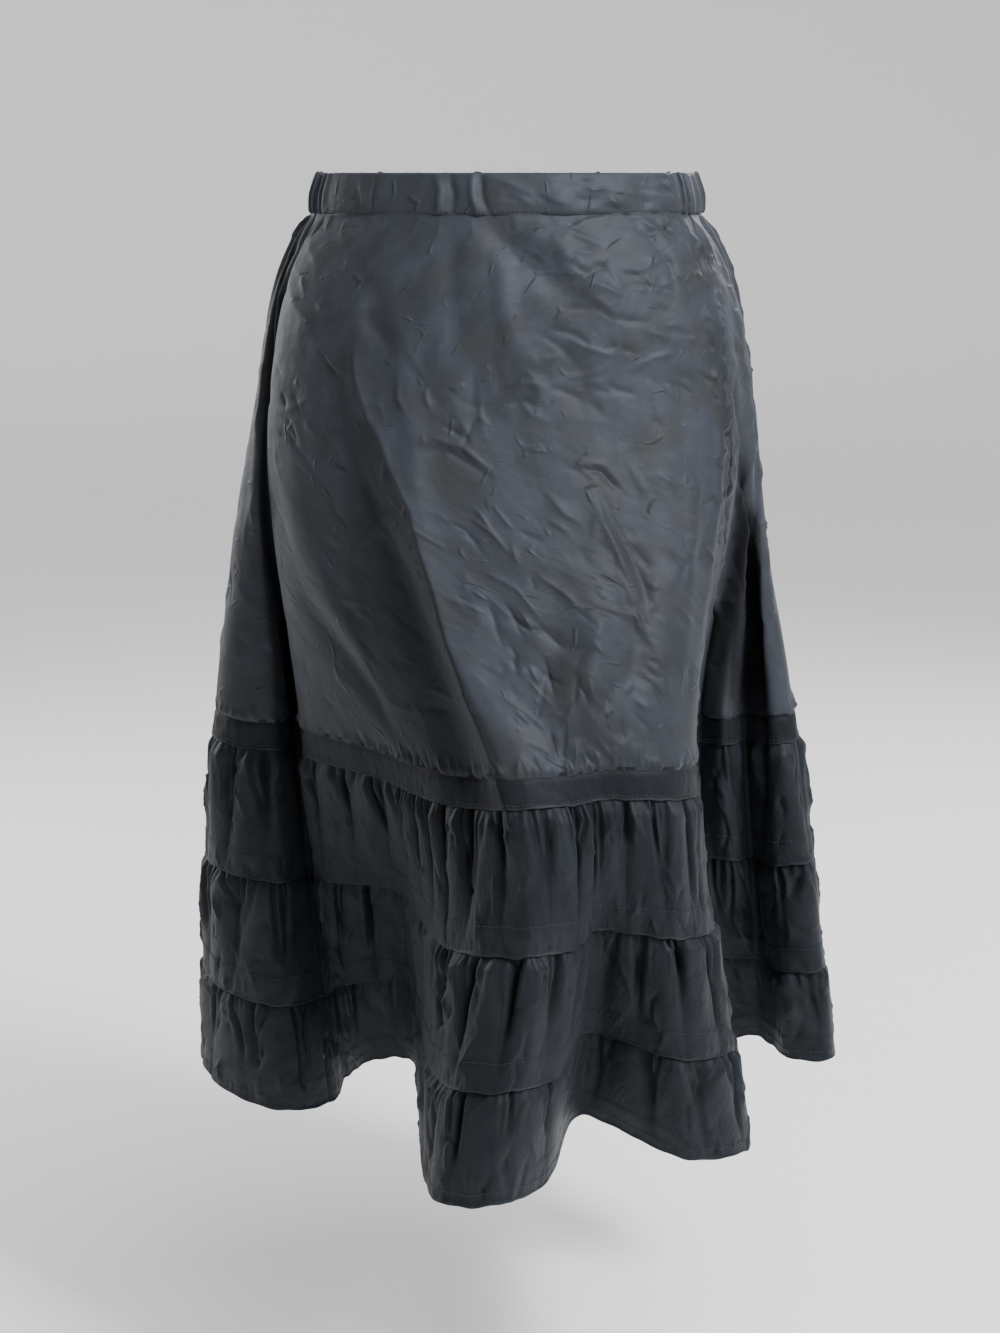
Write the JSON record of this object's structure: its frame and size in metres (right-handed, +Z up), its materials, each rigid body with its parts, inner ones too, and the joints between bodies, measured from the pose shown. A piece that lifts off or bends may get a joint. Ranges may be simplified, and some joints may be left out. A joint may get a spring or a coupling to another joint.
{
  "type": "tiered maxi skirt",
  "caption": "Tiered pull-on skirt hanging in its worn form: elastic waistband, smooth panels, a flat band and gathered tiers, open at waist and hem.",
  "frame": {"origin": "centre of the waist opening, half way up the waistband", "axes": "+Z up along the body, -Y towards the front of the skirt, +X towards the right of a viewer who faces the front"},
  "size_m": [0.6399, 0.6358, 0.8727],
  "materials": {
    "taffeta": "satin",
    "flat_band": "matte",
    "tier_cloth": "matte"
  },
  "bodies": {
    "root": {"waistband_front": "taffeta", "waistband_back": "taffeta", "panel_front": "taffeta", "panel_back": "taffeta", "flat_band_front": "flat_band", "flat_band_back": "flat_band", "tier_1_front": "tier_cloth", "tier_1_back": "tier_cloth", "tier_2_front": "tier_cloth", "tier_2_back": "tier_cloth", "tier_3_front": "tier_cloth", "tier_3_back": "tier_cloth"}
  },
  "joints": []
}
